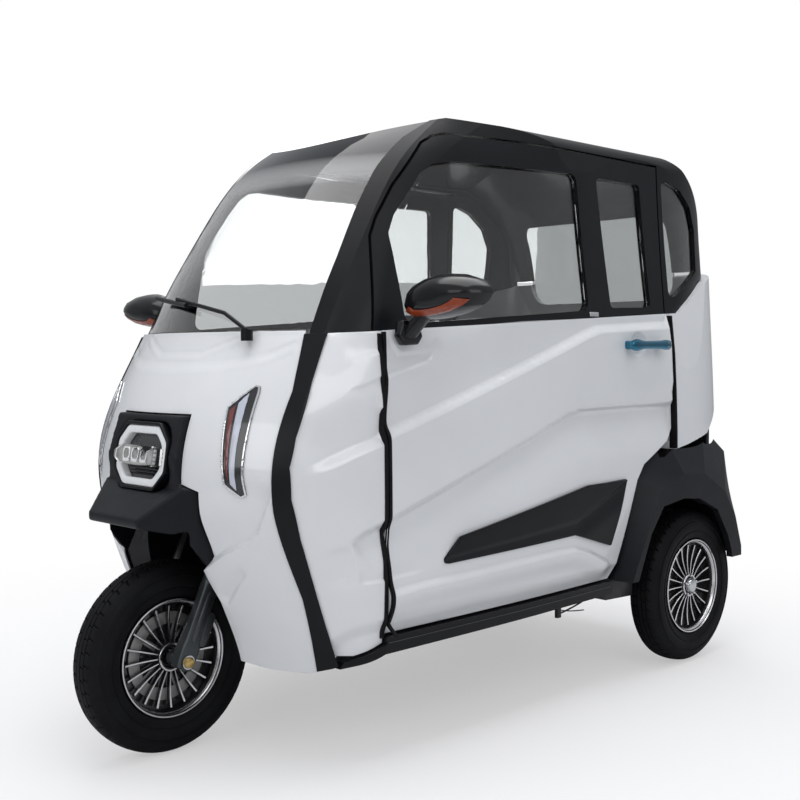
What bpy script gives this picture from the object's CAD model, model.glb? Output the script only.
import math

import bmesh
import bpy
import numpy as np
from mathutils import Matrix, Vector
from mathutils.bvhtree import BVHTree
from mathutils.geometry import delaunay_2d_cdt


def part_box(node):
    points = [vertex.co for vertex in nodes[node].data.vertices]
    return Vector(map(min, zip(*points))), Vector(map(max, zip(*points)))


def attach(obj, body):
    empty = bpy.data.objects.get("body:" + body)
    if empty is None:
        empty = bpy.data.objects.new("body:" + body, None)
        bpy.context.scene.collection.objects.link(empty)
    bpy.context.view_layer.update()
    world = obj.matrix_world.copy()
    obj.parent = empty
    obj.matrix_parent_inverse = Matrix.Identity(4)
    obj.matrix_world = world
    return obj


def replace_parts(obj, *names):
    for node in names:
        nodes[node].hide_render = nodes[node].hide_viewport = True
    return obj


# Enclosed electric tricycle. Metres, +Z up, the nose faces -Y, +X is the vehicle's left.

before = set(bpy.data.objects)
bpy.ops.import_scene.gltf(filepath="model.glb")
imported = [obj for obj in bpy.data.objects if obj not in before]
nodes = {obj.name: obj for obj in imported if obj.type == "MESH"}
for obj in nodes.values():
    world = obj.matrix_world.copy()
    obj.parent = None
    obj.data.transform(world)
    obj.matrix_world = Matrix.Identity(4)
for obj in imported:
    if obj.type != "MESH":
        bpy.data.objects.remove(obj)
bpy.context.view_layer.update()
scene = bpy.context.scene
axleY = -0.8          # the front axle, where stations are measured from
axleHeight = 0.229
sides = ("left", "right")
doors = ("door_left", "door_right")
chassis = ("body", "body")
print("frame loaded,", len(nodes), "nodes")


# Node tools
def addNode(tree, kind, sockets=None, **settings):
    node = tree.nodes.new("ShaderNode" + kind)
    for key, value in settings.items():
        setattr(node, key, value)
    for key, value in (sockets or {}).items():
        node.inputs[key].default_value = value
    return node


def wire(tree, *joints):
    # each joint is a node and its output, then a node and its input
    for source, output, target, socket in joints:
        tree.links.new(source.outputs[output], target.inputs[socket])


def addRamp(tree, low, high):
    # a colour ramp between two stops of place and colour
    ramp = addNode(tree, "ValToRGB")
    for stop, (place, colour) in zip(ramp.color_ramp.elements, (low, high)):
        stop.position = place
        stop.color = (*colour, 1)
    return ramp


def newMaterial(name):
    mat = bpy.data.materials.new(name)
    mat.use_nodes = True
    return mat, mat.node_tree, mat.node_tree.nodes["Principled BSDF"]


# Camera, light and floor
cameraLook = {"place": (2.327, -2.298, 0.958), "yaw": 45.35, "dip": 2.59, "roll": -0.464, "lens": 51.39}


def makeCamera(look):
    yaw, dip, roll = (math.radians(look[k]) for k in ("yaw", "dip", "roll"))
    ahead = Vector((-math.sin(yaw) * math.cos(dip), math.cos(yaw) * math.cos(dip), -math.sin(dip)))
    right = Vector((math.cos(yaw), math.sin(yaw), 0))
    up = right.cross(ahead)
    across = right * math.cos(roll) + up * math.sin(roll)
    above = up * math.cos(roll) - right * math.sin(roll)
    data = bpy.data.cameras.new("camera")
    data.lens = look["lens"]
    data.sensor_width = 36
    data.clip_start = 0.05
    data.clip_end = 100
    camera = bpy.data.objects.new("camera", data)
    turn = Matrix((across, above, -ahead)).transposed().to_4x4()
    camera.matrix_world = Matrix.Translation(look["place"]) @ turn
    scene.collection.objects.link(camera)
    scene.camera = camera


stageLook = {
    "half": 14,               # the floor's half width
    "fade": (1.1, 2.6),       # metres from the middle where the floor turns white
    "nearWhite": 0.45,        # how white it is close to the vehicle
    "tone": ((0.62, 0.62, 0.63, 1), (0.90, 0.90, 0.90, 1)),   # as the vehicle sees it, as the camera does
    "sky": ((0.35, (0.16, 0.17, 0.18)), (0.75, (0.72, 0.74, 0.77))),
    "skyLight": 0.75,
    # place, aim, size and power
    "lamps": {
        "keyLamp": ((4.2, -1.6, 3.4), (0, 0, 0.7), (3.2, 2.4), 36),
        "noseLamp": ((0.6, -5.0, 2.2), (0, -0.8, 0.7), (2.6, 2.2), 27),
        "topLamp": ((0, 0.2, 4.4), (0, 0.2, 0), (3.5, 4.5), 125),
        "backLamp": ((-3.5, 3.2, 2.6), (0, 0.3, 0.8), (2.5, 2.5), 30),
    },
}


def seenDirectly(tree):
    # 1 for camera rays and for rays through glass
    path = addNode(tree, "LightPath")
    either = addNode(tree, "Math", operation="MAXIMUM")
    wire(tree, (path, "Is Camera Ray", either, 0), (path, "Is Transmission Ray", either, 1))
    return either


def makeWorld(look):
    world = bpy.data.worlds.new("studio")
    world.use_nodes = True
    tree = world.node_tree
    tree.nodes.clear()
    out = addNode(tree, "OutputWorld")
    mix = addNode(tree, "MixShader")
    white = addNode(tree, "Background", {"Color": (1, 1, 1, 1), "Strength": 1.0})
    light = addNode(tree, "Background", {"Strength": look["skyLight"]})
    coord = addNode(tree, "TexCoord")
    split = addNode(tree, "SeparateXYZ")
    rise = addNode(tree, "Math", {1: 0.5, 2: 0.5}, operation="MULTIPLY_ADD")
    sky = addRamp(tree, *look["sky"])
    wire(tree, (coord, "Generated", split, 0), (split, "Z", rise, 0), (rise, 0, sky, 0), (sky, 0, light, "Color"),
         (seenDirectly(tree), 0, mix, 0), (light, 0, mix, 1), (white, 0, mix, 2), (mix, 0, out, 0))
    scene.world = world


def makeFloor(look):
    half = look["half"]
    mesh = bpy.data.meshes.new("studioFloor")
    mesh.from_pydata([(-half, -half, 0), (half, -half, 0), (half, half, 0), (-half, half, 0)], [], [(0, 1, 2, 3)])
    floor = bpy.data.objects.new("studioFloor", mesh)
    scene.collection.objects.link(floor)
    mat, tree, shader = newMaterial("paleFloor")
    shader.inputs["Roughness"].default_value = 0.9
    tone = addNode(tree, "Mix", data_type="RGBA")
    tone.inputs[6].default_value, tone.inputs[7].default_value = look["tone"]
    # away from the vehicle the floor turns into the white backdrop
    coord = addNode(tree, "TexCoord")
    reach = addNode(tree, "VectorMath", operation="LENGTH")
    far = addNode(tree, "MapRange", {"From Min": look["fade"][0], "From Max": look["fade"][1],
                                     "To Min": look["nearWhite"]}, interpolation_type="SMOOTHSTEP")
    direct = seenDirectly(tree)
    both = addNode(tree, "Math", operation="MULTIPLY")
    white = addNode(tree, "Emission")
    blend = addNode(tree, "MixShader")
    wire(tree, (coord, "Object", reach, 0), (reach, "Value", far, "Value"), (direct, 0, both, 0),
         (far, 0, both, 1), (direct, 0, tone, 0), (tone, 2, shader, "Base Color"), (both, 0, blend, 0),
         (shader, 0, blend, 1), (white, 0, blend, 2), (blend, 0, tree.nodes["Material Output"], "Surface"))
    mesh.materials.append(mat)


def areaLamp(name, place, aim, size, power):
    data = bpy.data.lights.new(name, "AREA")
    data.shape = "RECTANGLE"
    data.size, data.size_y = size
    data.energy = power
    lamp = bpy.data.objects.new(name, data)
    lamp.location = place
    lamp.rotation_euler = (Vector(aim) - Vector(place)).to_track_quat("-Z", "Y").to_euler()
    scene.collection.objects.link(lamp)


makeCamera(cameraLook)
makeWorld(stageLook)
makeFloor(stageLook)
for name, look in stageLook["lamps"].items():
    areaLamp(name, *look)
scene.view_settings.view_transform = "Standard"
print("camera and stage set")


# Materials
finishes = {
    # base colour, roughness and its spread, tone spread and size, bump and size, then what else differs
    "pearlWhite": ((0.8, 0.81, 0.83), 0.3, 0.06, 0.025, 5, 0.02, 900, {"coat": 1.0, "coatRough": 0.035}),
    "satinBlack": ((0.0045, 0.0052, 0.0068), 0.38, 0.1, 0.25, 7, 0.03, 1400,
                   {"spec": 0.2, "coat": 0.05, "coatRough": 0.2}),
    "roofBlack": ((0.005, 0.0055, 0.0065), 0.2, 0.08, 0.2, 5, 0.02, 700,
                  {"spec": 0.3, "coat": 0.18, "coatRough": 0.05}),
    "grainBlack": ((0.006, 0.0072, 0.0098), 0.44, 0.12, 0.25, 9, 0.12, 900, {"spec": 0.24, "grain": "pebble"}),
    "rubberSeal": ((0.004, 0.004, 0.005), 0.7, 0.1, 0.3, 20, 0.1, 900, {"spec": 0.2}),
    "tyreRubber": ((0.005, 0.0054, 0.0062), 0.6, 0.12, 0.35, 16, 0.12, 800, {"spec": 0.16}),
    "rimBlack": ((0.012, 0.012, 0.013), 0.22, 0.1, 0.2, 25, 0.02, 900, {"coat": 0.6, "coatRough": 0.05}),
    "cutAluminium": ((0.74, 0.74, 0.75), 0.24, 0.12, 0.06, 40, 0.05, 2200, {"metal": 1.0}),
    "forkGrey": ((0.06, 0.068, 0.072), 0.36, 0.1, 0.15, 18, 0.03, 800,
                 {"metal": 0.5, "coat": 0.2, "coatRough": 0.1}),
    "polishedSteel": ((0.62, 0.63, 0.64), 0.16, 0.08, 0.08, 30, 0.03, 1800, {"metal": 1.0}),
    "discSteel": ((0.3, 0.3, 0.29), 0.45, 0.12, 0.12, 60, 0.12, 2600, {"metal": 0.7}),
    "brassNut": ((0.6, 0.42, 0.16), 0.28, 0.1, 0.12, 90, 0.05, 1500, {"metal": 1.0}),
    "blueChrome": ((0.015, 0.17, 0.28), 0.08, 0.04, 0.08, 60, 0.01, 900,
                   {"metal": 1.0, "coat": 0.8, "coatRough": 0.03}),
    "chromeTrim": ((0.8, 0.81, 0.82), 0.1, 0.05, 0.04, 50, 0.01, 900, {"metal": 1.0}),
    "barSilver": ((0.36, 0.36, 0.34), 0.3, 0.12, 0.15, 45, 0.25, 260, {"metal": 0.8}),
    "framePaint": ((0.011, 0.011, 0.012), 0.42, 0.14, 0.3, 12, 0.1, 420,
                   {"spec": 0.3, "coat": 0.2, "coatRough": 0.2}),
    "lampStrip": ((0.56, 0.59, 0.68), 0.25, 0.06, 0.05, 40, 0.05, 600, {"coat": 0.8, "coatRough": 0.04}),
    "lampWhite": ((0.82, 0.83, 0.85), 0.28, 0.06, 0.03, 30, 0.02, 1500,
                  {"coat": 1.0, "coatRough": 0.04, "glow": 0.1}),
    "lampBlack": ((0.012, 0.013, 0.015), 0.2, 0.08, 0.2, 30, 0.02, 900, {"coat": 0.8, "coatRough": 0.05}),
    "redLens": ((0.17, 0.022, 0.022), 0.22, 0.08, 0.15, 60, 0.12, 500, {"coat": 1.0, "coatRough": 0.03}),
    "orangeLens": ((0.6, 0.1, 0.025), 0.22, 0.08, 0.15, 60, 0.12, 500, {"coat": 1.0, "coatRough": 0.03}),
    "seatVinyl": ((0.016, 0.016, 0.018), 0.45, 0.14, 0.25, 14, 0.35, 380,
                  {"spec": 0.35, "sheen": 0.15, "grain": "pebble"}),
    "dashPlastic": ((0.018, 0.019, 0.022), 0.55, 0.1, 0.2, 10, 0.2, 700, {"spec": 0.3, "grain": "pebble"}),
    "mirrorGlass": ((0.86, 0.88, 0.9), 0.02, 0.02, 0.02, 10, 0.0, 100, {"metal": 1.0}),
}
made = {}


def finish(name):
    if name in made:
        return made[name]
    base, rough, roughVary, vary, varySize, bump, bumpSize, other = finishes[name]
    mat, tree, shader = newMaterial(name)
    for socket, key, plain in (("Metallic", "metal", 0.0), ("Coat Weight", "coat", 0.0),
                               ("Coat Roughness", "coatRough", 0.03), ("Sheen Weight", "sheen", 0.0),
                               ("Specular IOR Level", "spec", 0.5)):
        shader.inputs[socket].default_value = other.get(key, plain)
    if other.get("glow"):
        shader.inputs["Emission Color"].default_value = (*base, 1)
        shader.inputs["Emission Strength"].default_value = other["glow"]
    coord = addNode(tree, "TexCoord")
    cloud = addNode(tree, "TexNoise", {"Scale": varySize, "Detail": 4.0})
    tint = addRamp(tree, (0.3, [c * (1 - vary) for c in base]), (0.7, [min(c * (1 + vary), 1) for c in base]))
    smear = addNode(tree, "TexNoise", {"Scale": varySize * 3.5, "Detail": 5.0, "Roughness": 0.6})
    spread = addNode(tree, "MapRange", {"To Min": max(rough - roughVary / 2, 0.01), "To Max": rough + roughVary / 2})
    wire(tree, (coord, "Object", cloud, "Vector"), (cloud, "Fac", tint, 0), (tint, 0, shader, "Base Color"),
         (coord, "Object", smear, "Vector"), (smear, "Fac", spread, "Value"), (spread, 0, shader, "Roughness"))
    if bump > 0:
        rise = addNode(tree, "Bump", {"Strength": bump, "Distance": 0.001})
        if other.get("grain") == "pebble":
            grain, height = addNode(tree, "TexVoronoi", {"Scale": bumpSize}), "Distance"
        else:
            grain, height = addNode(tree, "TexNoise", {"Scale": bumpSize, "Detail": 3.0}), "Fac"
        wire(tree, (coord, "Object", grain, "Vector"), (grain, height, rise, "Height"),
             (rise, "Normal", shader, "Normal"))
    made[name] = mat
    return mat


def glassFinish(name, tint, band=None):
    # band is the height where the painted edge begins, fading over a few centimetres
    mat, tree, shader = newMaterial(name)
    shader.inputs["IOR"].default_value = 1.45
    shader.inputs["Transmission Weight"].default_value = 1.0
    coord = addNode(tree, "TexCoord")
    smear = addNode(tree, "TexNoise", {"Scale": 3.0, "Detail": 4.0})
    tone = addRamp(tree, (0, [c * 0.97 for c in tint]), (1, [min(c * 1.03, 1) for c in tint]))
    spread = addNode(tree, "MapRange", {"To Min": 0.0, "To Max": 0.012})
    wire(tree, (coord, "Object", smear, "Vector"), (smear, "Fac", tone, 0), (smear, "Fac", spread, "Value"),
         (spread, 0, shader, "Roughness"))
    colour = (tone, 0)
    if band:
        split = addNode(tree, "SeparateXYZ")
        edge = addNode(tree, "MapRange", {"From Min": band[0], "From Max": band[1]})
        mix = addNode(tree, "Mix", {7: (0.006, 0.006, 0.008, 1)}, data_type="RGBA")
        clear = addNode(tree, "MapRange", {"To Min": 1.0, "To Max": 0.0})
        wire(tree, (coord, "Object", split, 0), (split, "Z", edge, "Value"), (edge, 0, mix, "Factor"),
             (tone, 0, mix, 6), (edge, 0, clear, "Value"), (clear, 0, shader, "Transmission Weight"))
        colour = (mix, 2)
    wire(tree, (*colour, shader, "Base Color"))
    made[name] = mat


# Shared mesh tools
def station(run):
    return axleY + run / 1000


def shaded(mesh, sharp):
    for face in mesh.polygons:
        face.use_smooth = True
    if sharp:
        mesh.set_sharp_from_angle(angle=math.radians(sharp))


def newPiece(name, mesh, body, look, sharp=35):
    piece = bpy.data.objects.new(name, mesh)
    scene.collection.objects.link(piece)
    mesh.materials.clear()
    mesh.materials.append(made.get(look) or finish(look))
    shaded(mesh, sharp)
    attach(piece, body)
    return piece


def meshFrom(bm, name, outward=True):
    if outward:
        bmesh.ops.recalc_face_normals(bm, faces=bm.faces)
    mesh = bpy.data.meshes.new(name)
    bm.to_mesh(mesh)
    bm.free()
    return mesh


def applied(piece):
    # the mesh with its modifiers made real
    depsgraph = bpy.context.evaluated_depsgraph_get()
    mesh = bpy.data.meshes.new_from_object(piece.evaluated_get(depsgraph))
    piece.modifiers.clear()
    old = piece.data
    piece.data = mesh
    bpy.data.meshes.remove(old)
    return mesh


def modifier(piece, kind, **settings):
    added = piece.modifiers.new(kind.lower(), kind)
    for key, value in settings.items():
        setattr(added, key, value)
    return added


def mirrored(mesh, name):
    other = mesh.copy()
    other.name = name
    other.transform(Matrix.Scale(-1, 4, (1, 0, 0)))
    other.flip_normals()
    return other


def bothSides(name, mesh, bodies, look, sharp=40, standsFor=None):
    pair = []
    for side, body in zip(sides, bodies):
        copy = mesh if side == "left" else mirrored(mesh, name + "Right")
        pair.append(newPiece(f"{name}_{side}", copy, body, look, sharp))
        if standsFor:
            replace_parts(pair[-1], f"{standsFor}_{side}")
    return pair


def bridge(bm, rows, wrap=True, caps=True):
    # faces from each row of vertices to the next
    for a, b in zip(rows, rows[1:]):
        for i in range(len(a) if wrap else len(a) - 1):
            j = (i + 1) % len(a)
            bm.faces.new((a[i], a[j], b[j], b[i]))
    if caps:
        bm.faces.new(rows[0])
        bm.faces.new(rows[-1])


def bridged(name, rows, wrap=True, caps=True):
    bm = bmesh.new()
    bridge(bm, [[bm.verts.new(p) for p in row] for row in rows], wrap, caps)
    return meshFrom(bm, name)


def treeOf(node):
    bm = bmesh.new()
    bm.from_mesh(nodes[node].data)
    tree = BVHTree.FromBMesh(bm)
    bm.free()
    return tree


def shownTree(piece):
    return BVHTree.FromObject(piece, bpy.context.evaluated_depsgraph_get())


# Thin panels that follow a skin. A view is the two axes it is drawn in and the way it looks out.
sideView = ((1, 2), (1, 0, 0))
frontView = ((0, 2), (0, -1, 0))


def inSpace(view, u, v, out=0.0):
    place = [out] * 3
    place[view[0][0]], place[view[0][1]] = u, v
    return place


def skinLevel(tree, view, u, v):
    # the skin's place along the axis looked out on
    outward = Vector(view[1])
    start = Vector(inSpace(view, u, v))
    hit = tree.ray_cast(start + outward * 2.5, -outward)[0] or tree.find_nearest(start + outward * 0.45)[0]
    return hit[3 - sum(view[0])]


def evenPoints(line, pitch):
    points = []
    for a, b in zip(line, line[1:]):
        count = max(int(math.dist(a, b) / pitch), 1)
        points += [(a[0] + (b[0] - a[0]) * k / count, a[1] + (b[1] - a[1]) * k / count) for k in range(count)]
    return points


def walled(name, view, verts, faces, thick, offset, roll, steps):
    # a sheet given its thickness and rounded rims
    mesh = bpy.data.meshes.new(name)
    mesh.from_pydata(verts, [], faces)
    mesh.validate()
    if sum(face.normal.dot(Vector(view[1])) * face.area for face in mesh.polygons) < 0:
        mesh.flip_normals()
    piece = bpy.data.objects.new(name, mesh)
    scene.collection.objects.link(piece)
    modifier(piece, "SOLIDIFY", thickness=thick, offset=offset)
    modifier(piece, "BEVEL", width=roll, segments=steps, limit_method="ANGLE", angle_limit=math.radians(60))
    mesh = applied(piece)
    bpy.data.objects.remove(piece)
    return mesh


def insideLoop(points, loop):
    # even-odd test for many points at once
    inside = np.zeros(len(points), bool)
    px, py = points[:, 0], points[:, 1]
    last = loop[-1]
    for here in loop:
        (x0, y0), (x1, y1) = last, here
        crosses = (y0 > py) != (y1 > py)
        with np.errstate(divide="ignore", invalid="ignore"):
            at = (x1 - x0) * (py - y0) / (y1 - y0 if y1 != y0 else 1e-12) + x0
        inside ^= crosses & (px < at)
        last = here
    return inside


def facesWithin(spots, faces, rim, hole=None):
    middles = np.array([[sum(spots[i][k] for i in f) / len(f) for k in (0, 1)] for f in faces])
    held = insideLoop(middles, rim)
    if hole:
        held &= ~insideLoop(middles, hole)
    return [f for f, kept in zip(faces, held) if kept]


# Pressed white panels
def skinOutline(node, view, lean):
    # the longest edge loop of a node's outer skin, as the view sees it
    bm = bmesh.new()
    bm.from_mesh(nodes[node].data)
    bmesh.ops.remove_doubles(bm, verts=bm.verts, dist=1e-5)
    bm.normal_update()
    tree = BVHTree.FromBMesh(bm)
    hidden = [f for f in bm.faces if f.normal.dot(Vector(view[1])) < lean]
    bmesh.ops.delete(bm, geom=hidden, context="FACES")
    loops = []
    rim = [e for e in bm.edges if len(e.link_faces) == 1]
    free = set(rim)
    for edge in rim:
        if edge not in free:
            continue
        free.discard(edge)
        start, here = edge.verts
        chain = [start, here]
        while here is not start:
            onward = [e for e in here.link_edges if e in free]
            if not onward:
                break
            free.discard(onward[0])
            here = onward[0].other_vert(here)
            chain.append(here)
        loops.append(chain)
    longest = max(loops, key=lambda c: sum((a.co - b.co).length for a, b in zip(c, c[1:])))
    points = [tuple(v.co[axis] for axis in view[0]) for v in longest[:-1]]
    bm.free()
    return points, tree


def thinned(points, least):
    kept = [points[0]]
    for point in points[1:]:
        if math.dist(point, kept[-1]) > least:
            kept.append(point)
    if math.dist(kept[0], kept[-1]) < least:
        kept.pop()
    return kept


def lineField(points, line):
    # signed distance to a broken line (positive on its right) and the distance run along it
    best = np.full(len(points), 1e9)
    signed = np.zeros(len(points))
    along = np.zeros(len(points))
    run = 0.0
    for a, b in zip(line, line[1:]):
        a, b = np.array(a, float), np.array(b, float)
        span = b - a
        length = np.linalg.norm(span)
        ahead = span / length
        offset = points - a
        t = np.clip(offset @ ahead, 0, length)
        near = offset - t[:, None] * ahead
        away = np.linalg.norm(near, axis=1)
        side = offset[:, 0] * ahead[1] - offset[:, 1] * ahead[0]
        closer = away < best
        best = np.where(closer, away, best)
        signed = np.where(closer, np.where(side >= 0, away, -away), signed)
        along = np.where(closer, run + t, along)
        run += length
    return signed, along, run


def smoothStep(x):
    x = np.clip(x, 0, 1)
    return x * x * (3 - 2 * x)


def pressIn(points, creases):
    # how far each point is pressed in, from the creases' steps that fade away on one side
    depth = np.zeros(len(points))
    for crease in creases:
        signed, along, run = lineField(points, crease["line"])
        if crease["flip"]:
            signed = -signed
        t = np.clip(signed / crease["width"] + 0.5, 0, 1)
        step = 0.6 * t + 0.4 * smoothStep(t)
        fade = 1 - smoothStep((signed - crease["hold"]) / crease["fade"])
        ends = smoothStep(along / crease["ends"][0]) * smoothStep((run - along) / crease["ends"][1])
        depth += crease["depth"] * step * fade * ends
    return depth


def offsetLine(line, shift):
    moved = []
    for i, point in enumerate(line):
        before = line[max(i - 1, 0)]
        after = line[min(i + 1, len(line) - 1)]
        span = np.array(after, float) - np.array(before, float)
        span /= np.linalg.norm(span)
        moved.append((point[0] + span[1] * shift, point[1] - span[0] * shift))
    return moved


panelGrid = {
    "least": 0.0025,                              # shortest step of the outline
    "guards": (-0.66, -0.5, 0.0, 0.5, 0.66),      # mesh lines along a crease, as shares of its width
    "rings": (0.35, 0.7, 0.85, 1.0),              # mesh rings round a dish
    "turns": 28,
    "row": 0.87,                                  # height of a row of the grid, in pitches
    "clear": (0.45, 0.4),                         # room the grid leaves at the outline and at a crease, in pitches
    "passes": 40,                                 # how often the heights are evened out
}


def panelSites(outline, creases, dishes, pitch):
    # the mesh's points: outline, lines along the creases, rings in the dishes and a grid between them
    low, high = np.array(outline).min(0), np.array(outline).max(0)
    points = list(outline)
    edges = [(i, (i + 1) % len(outline)) for i in range(len(outline))]
    rimRoom, creaseRoom = panelGrid["clear"]
    guarded = [(np.array(outline + outline[:1]), pitch * rimRoom)]
    for crease in creases:
        for share in panelGrid["guards"]:
            line = offsetLine(crease["line"], share * crease["width"] * (-1 if crease["flip"] else 1))
            dense = evenPoints(line, pitch) + [line[-1]]
            held = insideLoop(np.array(dense), outline)
            for k, point in enumerate(dense):
                if held[k]:
                    points.append(point)
                    if k and held[k - 1]:
                        edges.append((len(points) - 2, len(points) - 1))
            guarded.append((np.array(dense), pitch * creaseRoom))
    for centre, radius, _ in dishes:
        for share in panelGrid["rings"]:
            for k in range(panelGrid["turns"]):
                turn = 2 * math.pi * k / panelGrid["turns"]
                points.append((centre[0] + radius[0] * share * math.cos(turn),
                               centre[1] + radius[1] * share * math.sin(turn)))
    grid = []
    for row in range(int((high[1] - low[1]) / (pitch * panelGrid["row"])) + 1):
        level = low[1] + row * pitch * panelGrid["row"]
        shift = pitch / 2 if row % 2 else 0
        grid += [(u, level) for u in np.arange(low[0] + shift, high[0], pitch)]
    grid = np.array(grid)
    keep = insideLoop(grid, outline)
    for line, room in guarded:
        for a, b in zip(line[:-1], line[1:]):
            span = b - a
            t = np.clip(((grid - a) @ span) / max(np.dot(span, span), 1e-12), 0, 1)
            near = grid - a - t[:, None] * span
            keep &= np.einsum("ij,ij->i", near, near) > room * room
    return points + [tuple(p) for p in grid[keep]], edges


def settled(flat, faces, out):
    # the skin's heights evened out, with the rim held, so that its facets don't show
    count = {}
    for f in faces:
        for i in range(len(f)):
            key = tuple(sorted((f[i], f[(i + 1) % len(f)])))
            count[key] = count.get(key, 0) + 1
    pairs = np.array(sorted(count))
    rim = np.zeros(len(flat), bool)
    for key, times in count.items():
        if times == 1:
            rim[list(key)] = True
    weight = np.bincount(pairs.ravel(), minlength=len(flat)).astype(float)
    weight[weight == 0] = 1
    slope = np.polynomial.polynomial.polyvander2d(flat[:, 0] - flat[:, 0].mean(),
                                                  flat[:, 1] - flat[:, 1].mean(), [3, 3])
    plainShape = slope @ np.linalg.lstsq(slope, out, rcond=None)[0]
    rest = out - plainShape
    for _ in range(panelGrid["passes"]):
        total = np.zeros(len(flat))
        np.add.at(total, pairs[:, 0], rest[pairs[:, 1]])
        np.add.at(total, pairs[:, 1], rest[pairs[:, 0]])
        rest = np.where(rim, rest, 0.5 * rest + 0.5 * total / weight)
    return plainShape + rest


def pressedPanel(node, name, view, lean, creases, dishes=(), pitch=0.009, wall=0.004, edgeRoll=0.004, lowest=0.0):
    # a node's outer skin as an even mesh with its creases and dishes pressed in
    outline, tree = skinOutline(node, view, lean)
    outline = thinned([(u, max(v, lowest)) for u, v in outline], panelGrid["least"])
    points, edges = panelSites(outline, creases, dishes, pitch)
    spots, _, faces, *_ = delaunay_2d_cdt([Vector(p) for p in points], edges, [list(range(len(outline)))],
                                          1, 1e-6, False)
    flat = np.array([(p.x, p.y) for p in spots])
    faces = facesWithin(flat, faces, outline)
    out = settled(flat, faces, np.array([skinLevel(tree, view, u, v) for u, v in flat]))
    inward = pressIn(flat, creases)
    for centre, radius, depth in dishes:
        reach = np.hypot((flat[:, 0] - centre[0]) / radius[0], (flat[:, 1] - centre[1]) / radius[1])
        inward += depth * (1 - smoothStep((reach - 0.62) / 0.38))
    out -= inward * sum(view[1])
    verts = [inSpace(view, u, v, height) for (u, v), height in zip(flat, out)]
    return walled(name, view, verts, faces, wall, -1, edgeRoll, 3)


def crease(points, depth, width, hold, fade, ends, flip=False):
    # millimetres: the line, its depth and width, how far it holds and fades, how soon it starts and ends
    return {"line": [(u / 1000, v / 1000) for u, v in points], "depth": depth / 1000, "width": width / 1000,
            "hold": hold / 1000, "fade": fade / 1000, "ends": (ends[0] / 1000, ends[1] / 1000), "flip": flip}


def sideCrease(points, *shape):
    # stations become distances along the row's Y
    return crease([(axleY * 1000 + run, height) for run, height in points], *shape)


def creasePair(points, *shape):
    return [crease(points, *shape), crease([(-u, v) for u, v in points], *shape, True)]


sidePanels = {
    "door_panel": {
        "bodies": doors,
        "lean": 0.5,
        "wall": 0.028,
        "lowest": 0.0,
        "dishes": [((station(1280), 0.962), (0.041, 0.039), 0.012)],      # centre, radii and depth
        "creases": [
            # the long ridge, pressed in above it
            sideCrease([(262, 752), (309, 768), (505, 828), (775, 912), (1035, 992), (1095, 1006), (1232, 1012),
                        (1470, 1022)], 17, 21, 20, 130, (1, 1), True),
            # the second ridge, pressed in below it
            sideCrease([(262, 554), (307, 569), (498, 633), (768, 721), (932, 777), (988, 786), (1219, 787),
                        (1470, 788)], 18, 23, 14, 150, (1, 1)),
            # the low ridge, standing out below its line
            sideCrease([(262, 402), (316, 403), (393, 409), (588, 414), (872, 421), (960, 419), (1031, 400),
                        (1159, 345)], -13, 14, 14, 50, (1, 60)),
            # the short ledge that runs on from the front quarter
            sideCrease([(262, 433), (306, 435), (420, 442)], 6, 9, 6, 40, (1, 70), True),
            # the sill's turn-under
            sideCrease([(262, 330), (590, 334), (900, 330), (1200, 330)], 17, 40, 60, 60, (1, 1)),
            # the facets round the mirror's foot
            sideCrease([(262, 884), (304, 896), (346, 906), (434, 928), (452, 962)], 6, 8, 8, 60, (1, 40), True),
            sideCrease([(306, 984), (334, 944), (430, 950), (452, 985)], 5, 10, 10, 40, (20, 20)),
        ],
    },
    "front_quarter": {
        "bodies": chassis,
        "lean": 0.2,
        "wall": 0.014,
        "lowest": 0.262,      # above the sliver that runs down to the ribbon's foot
        "dishes": [],
        "creases": [
            sideCrease([(90, 683), (148, 704), (203, 728), (275, 752), (300, 762)], 17, 21, 20, 110, (90, 1), True),
            sideCrease([(190, 518), (231, 544), (279, 560), (300, 566)], 18, 23, 14, 100, (30, 1)),
            sideCrease([(192, 524), (204, 479), (214, 433)], 6, 9, 10, 60, (16, 16)),
            sideCrease([(212, 431), (280, 434), (300, 434)], 5, 9, 6, 50, (16, 1), True),
            sideCrease([(150, 262), (177, 289), (215, 318), (282, 332), (300, 334)], 13, 30, 60, 60, (30, 1)),
            sideCrease([(218, 929), (244, 942), (281, 951), (300, 955)], 4, 8, 8, 40, (25, 1), True),
            sideCrease([(203, 866), (241, 878), (280, 896), (300, 903)], 4, 8, 8, 40, (25, 1)),
        ],
    },
}
shells = {}
for panel, look in sidePanels.items():
    mesh = pressedPanel(panel + "_left", panel + "Pressed", sideView, look["lean"], look["creases"], look["dishes"],
                        wall=look["wall"], lowest=look["lowest"])
    shells[panel] = bothSides(panel + "Shell", mesh, look["bodies"], "pearlWhite", 50, panel)[0]
print("pressed side panels made")

cowlPress = [
    *creasePair([(372, 668), (354, 630), (338, 593), (321, 555), (294, 532), (231, 500), (188, 472), (160, 455)],
                15, 14, 14, 90, (60, 10)),
    *creasePair([(286, 462), (252, 430), (218, 392), (200, 372)], 6, 10, 4, 30, (30, 20)),
    crease([(-330, 966), (-279, 940), (-170, 921), (0, 915), (170, 921), (279, 940), (330, 966)],
           5, 22, 10, 120, (60, 60), True),
    crease([(-215, 992), (-156, 970), (-82, 945), (82, 945), (156, 970), (215, 992)],
           3.5, 16, 6, 90, (50, 50), True),
]
cowlShell = newPiece("cowlShell", pressedPanel("front_cowl", "cowlPressed", frontView, 0.08, cowlPress), "body",
                     "pearlWhite", 50)
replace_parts(cowlShell, "front_cowl")
print("cowl made")

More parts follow.
